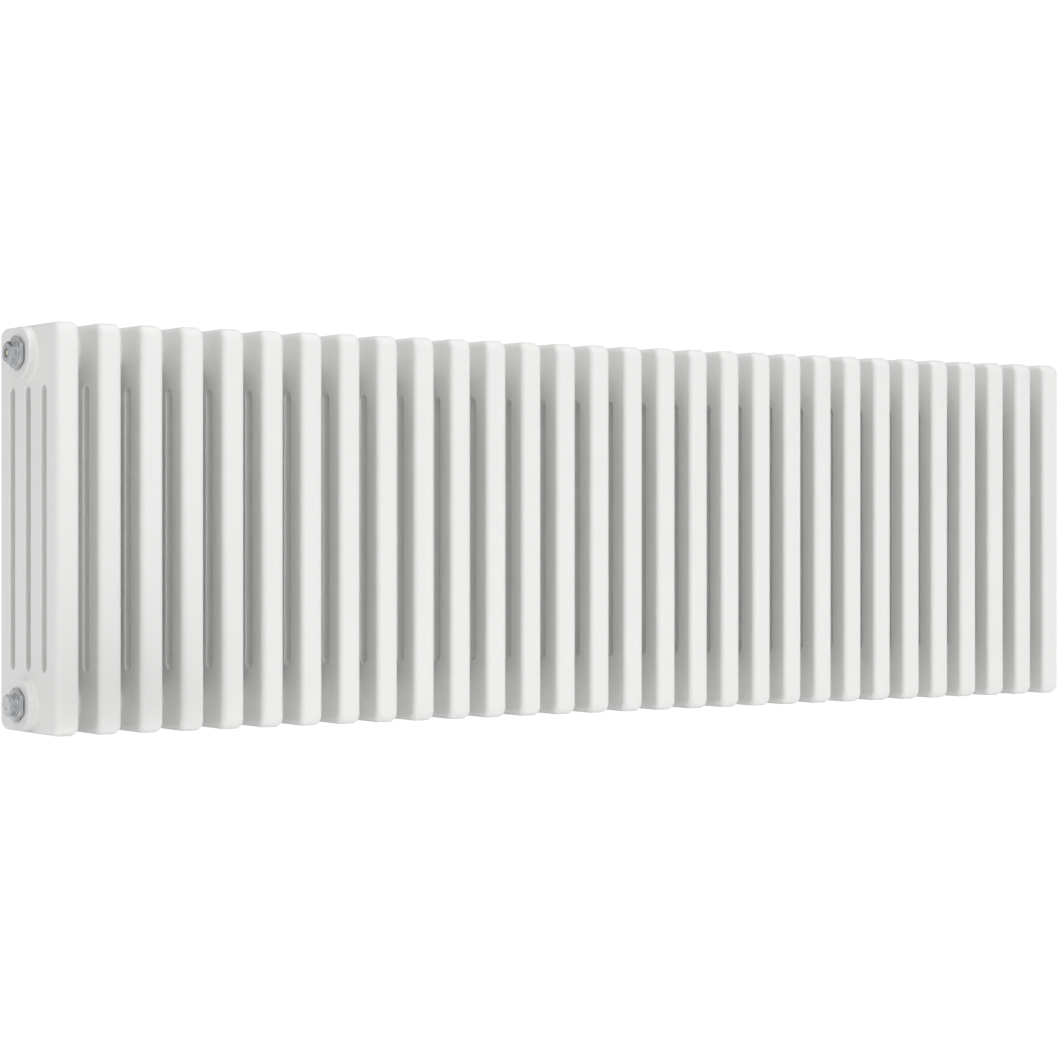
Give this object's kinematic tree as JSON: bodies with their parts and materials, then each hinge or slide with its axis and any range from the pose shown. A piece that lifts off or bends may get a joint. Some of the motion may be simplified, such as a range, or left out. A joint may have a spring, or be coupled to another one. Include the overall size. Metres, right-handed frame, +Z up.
{
  "type": "sectional column radiator",
  "caption": "Low, long four-column sectional radiator with rounded slotted sections, chrome end bushes, a bleed vent and a blanking plug.",
  "frame": {"origin": "middle of the row and of its depth, on the plane that the sections stand on", "axes": "+X along the row from the vented end to the open end, -Y the front, +Z up"},
  "size_m": [1.3674, 0.136, 0.4],
  "materials": {
    "white_coating": "smooth white gloss coating over cast iron",
    "nipple_iron": "plain machined iron",
    "gasket_fibre": "pale pressed fibre and rubber",
    "chrome_plate": "bright chrome plate over brass",
    "seal_rubber": "black sealing rubber",
    "screw_brass": "nickel-plated brass"
  },
  "bodies": {
    "radiator": {"section_01": "white_coating", "section_02": "white_coating", "section_03": "white_coating", "section_04": "white_coating", "section_05": "white_coating", "section_06": "white_coating", "section_07": "white_coating", "section_08": "white_coating", "section_09": "white_coating", "section_10": "white_coating", "section_11": "white_coating", "section_12": "white_coating", "section_13": "white_coating", "section_14": "white_coating", "section_15": "white_coating", "section_16": "white_coating", "section_17": "white_coating", "section_18": "white_coating", "section_19": "white_coating", "section_20": "white_coating", "section_21": "white_coating", "section_22": "white_coating", "section_23": "white_coating", "section_24": "white_coating", "section_25": "white_coating", "section_26": "white_coating", "section_27": "white_coating", "section_28": "white_coating", "section_29": "white_coating", "section_30": "white_coating", "top_nipples": "nipple_iron", "bottom_nipples": "nipple_iron", "top_gaskets": "gasket_fibre", "bottom_gaskets": "gasket_fibre", "bush_bottom_left": "chrome_plate", "bush_top_left": "chrome_plate", "bush_bottom_right": "chrome_plate", "bush_top_right": "chrome_plate", "bush_seal_bottom_left": "seal_rubber", "bush_seal_top_left": "seal_rubber", "bush_seal_bottom_right": "seal_rubber", "bush_seal_top_right": "seal_rubber", "vent_plug": "chrome_plate", "vent_plug_seal": "seal_rubber", "blanking_plug": "chrome_plate", "blanking_plug_seal": "seal_rubber"},
    "bleed_seal_ring": {"bleed_screw_seal": "seal_rubber"},
    "bleed_screw": {"bleed_screw": "screw_brass"}
  },
  "joints": [
    {"name": "bleed_screw_travel", "type": "slide", "parent": "radiator", "child": "bleed_seal_ring", "axis": [-1, 0, 0], "range_m": [0, 0.0015]},
    {"name": "bleed_screw_turn", "type": "hinge", "parent": "bleed_seal_ring", "child": "bleed_screw", "pos_m": [-0.6874, 0, 0.372], "axis": [-1, 0, 0], "range_deg": [0, 540]}
  ],
  "couplings": [
    {"joint": "bleed_screw_turn", "follows": "bleed_screw_travel", "rad_per_m": 6283.2}
  ]
}
